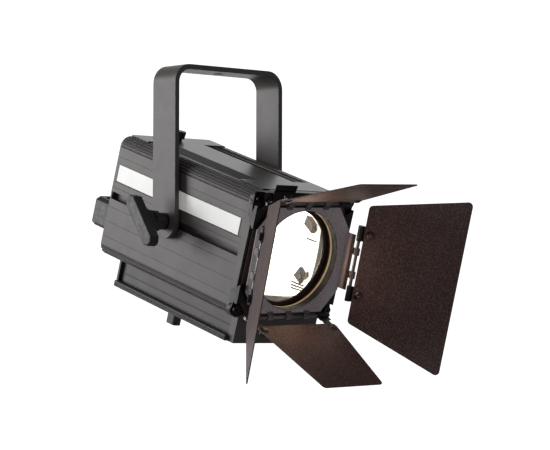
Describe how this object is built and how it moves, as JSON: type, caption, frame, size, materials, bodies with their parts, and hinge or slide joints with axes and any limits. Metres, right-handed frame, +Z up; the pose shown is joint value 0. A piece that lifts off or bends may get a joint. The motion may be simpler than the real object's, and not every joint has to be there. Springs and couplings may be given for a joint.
{
  "type": "plano-convex stage spotlight",
  "caption": "Small theatre spotlight with a clear plano-convex lens, hanging yoke, T-lever tilt lock, sliding lamp carriage and a turning barndoor with folding leaves.",
  "frame": {"origin": "centre of the hanging hole in the yoke, on its top face", "axes": "+Z up along the hanging hole, -Y the way the beam points, X across the lamp house along the tilt axis"},
  "size_m": [0.2888, 0.4513, 0.3705],
  "materials": {
    "body_paint": "fine textured dark grey powder coat",
    "tray_paint": "fine textured dark grey powder coat, a little darker",
    "cover_paint": "semi-gloss dark grey paint",
    "inner_black": "heat-resistant matt black",
    "clip_black": "gloss black spring steel",
    "leaf_paint": "speckled matt black-brown wrinkle finish",
    "carrier_paint": "speckled grey wrinkle finish",
    "knuckle_paint": "wrinkle finish rubbed dark on the hinge knuckles",
    "rod_steel": "oiled steel hinge rod",
    "hinge_steel": "blackened steel",
    "dark_screws": "blackened screws",
    "label_silver": "plain satin silver label strip",
    "knob_plastic": "moulded glass-filled nylon",
    "zinc_steel": "zinc-plated steel",
    "spacer_nylon": "black nylon",
    "lens_glass": "clear moulded borosilicate, polished",
    "bright_aluminium": "bright aluminium sheet",
    "mirror_aluminium": "polished anodised aluminium",
    "ceramic": "glazed steatite",
    "quartz": "clear quartz",
    "filament": "tungsten coil, glowing",
    "terminal_plastic": "moulded insulation"
  },
  "bodies": {
    "yoke": {"yoke_strap": "body_paint", "yoke_washers": "dark_screws"},
    "lamp_house": {"barndoor_slot_plate": "inner_black", "cable_gland": "knob_plastic", "corner_clips": "clip_black", "front_frame": "body_paint", "front_screws": "dark_screws", "guide_rails": "zinc_steel", "heat_shield": "bright_aluminium", "lamp_liner": "bright_aluminium", "lens": "lens_glass", "lens_ring": "inner_black", "lens_spring": "zinc_steel", "lens_tube": "inner_black", "lower_tray": "tray_paint", "nameplates": "label_silver", "pivot_bolt": "zinc_steel", "pivot_spacers": "spacer_nylon", "rear_handle": "knob_plastic", "rear_panel": "body_paint", "rear_screws": "dark_screws", "side_extrusion_left": "body_paint", "side_extrusion_right": "body_paint", "slot_nuts": "zinc_steel", "terminal_block": "terminal_plastic", "top_baffle": "inner_black", "top_cover": "cover_paint", "tray_rear_plate": "tray_paint", "tray_screws": "dark_screws"},
    "lock_lever": {"lock_lever": "knob_plastic", "lock_stud": "zinc_steel"},
    "cover_knob": {"cover_knob": "knob_plastic", "cover_knob_screw": "zinc_steel"},
    "accessory_latch": {"accessory_latch": "clip_black"},
    "lamp_carriage": {"lamp_carriage": "bright_aluminium", "focus_stud": "zinc_steel", "lamp_socket": "ceramic", "lamp_base": "ceramic", "lamp_bulb": "quartz", "lamp_filament": "filament", "reflector": "mirror_aluminium", "reflector_bracket": "zinc_steel"},
    "focus_knob": {"focus_knob": "knob_plastic"},
    "barndoor": {"barndoor_carrier": "carrier_paint", "barndoor_spacer_ring": "inner_black", "barndoor_retainer": "inner_black", "hinge_rods": "rod_steel", "hinge_knuckles": "knuckle_paint"},
    "leaf_top": {"leaf_top": "leaf_paint", "leaf_top_clips": "hinge_steel", "leaf_top_screws": "dark_screws"},
    "leaf_bottom": {"leaf_bottom": "leaf_paint", "leaf_bottom_clips": "hinge_steel", "leaf_bottom_screws": "dark_screws"},
    "leaf_left": {"leaf_left": "leaf_paint", "leaf_left_clips": "hinge_steel", "leaf_left_screws": "dark_screws"},
    "leaf_right": {"leaf_right": "leaf_paint", "leaf_right_clips": "hinge_steel", "leaf_right_screws": "dark_screws"}
  },
  "joints": [
    {"name": "tilt", "type": "hinge", "parent": "yoke", "child": "lamp_house", "pos_m": [0, 0, -0.182], "axis": [1, 0, 0], "range_deg": [-65, 72]},
    {"name": "lock_lever_turn", "type": "hinge", "parent": "yoke", "child": "lock_lever", "pos_m": [0, 0, -0.182], "axis": [-1, 0, 0], "range_deg": [-60, 120]},
    {"name": "cover_knob_turn", "type": "hinge", "parent": "lamp_house", "child": "cover_knob", "pos_m": [0, 0.07248, -0.08064], "axis": [0, -0.3057, 0.9521], "continuous": true},
    {"name": "latch_lift", "type": "hinge", "parent": "lamp_house", "child": "accessory_latch", "pos_m": [0, -0.14908, -0.15046], "axis": [-1, 0, 0], "range_deg": [0, 30], "stiffness_Nm_per_rad": 0.12, "springref_deg": -14.32},
    {"name": "focus_slide", "type": "slide", "parent": "lamp_house", "child": "lamp_carriage", "axis": [0, 0.9521, 0.3057], "range_m": [-0.05, 0.03]},
    {"name": "focus_knob_turn", "type": "hinge", "parent": "lamp_carriage", "child": "focus_knob", "pos_m": [0, 0.07178, -0.26818], "axis": [0, -0.3057, 0.9521], "range_deg": [-90, 90]},
    {"name": "barndoor_turn", "type": "hinge", "parent": "lamp_house", "child": "barndoor", "pos_m": [0, -0.13852, -0.22815], "axis": [0, -0.9521, -0.3057], "continuous": true},
    {"name": "leaf_top_fold", "type": "hinge", "parent": "barndoor", "child": "leaf_top", "pos_m": [-0.00244, -0.1589, -0.16469], "axis": [-0.9993, 0.0112, -0.0349], "range_deg": [-53.9, 63.1]},
    {"name": "leaf_bottom_fold", "type": "hinge", "parent": "barndoor", "child": "leaf_bottom", "pos_m": [0.00244, -0.11815, -0.29162], "axis": [0.9993, -0.0112, 0.0349], "range_deg": [-46.6, 70.4]},
    {"name": "leaf_left_fold", "type": "hinge", "parent": "barndoor", "child": "leaf_left", "pos_m": [-0.07375, -0.15236, -0.23544], "axis": [-0.0366, -0.3055, 0.9515], "range_deg": [-63.1, 64.9]},
    {"name": "leaf_right_fold", "type": "hinge", "parent": "barndoor", "child": "leaf_right", "pos_m": [0.07375, -0.15401, -0.23029], "axis": [0.0366, 0.3055, -0.9515], "range_deg": [-71.8, 56.2]}
  ]
}
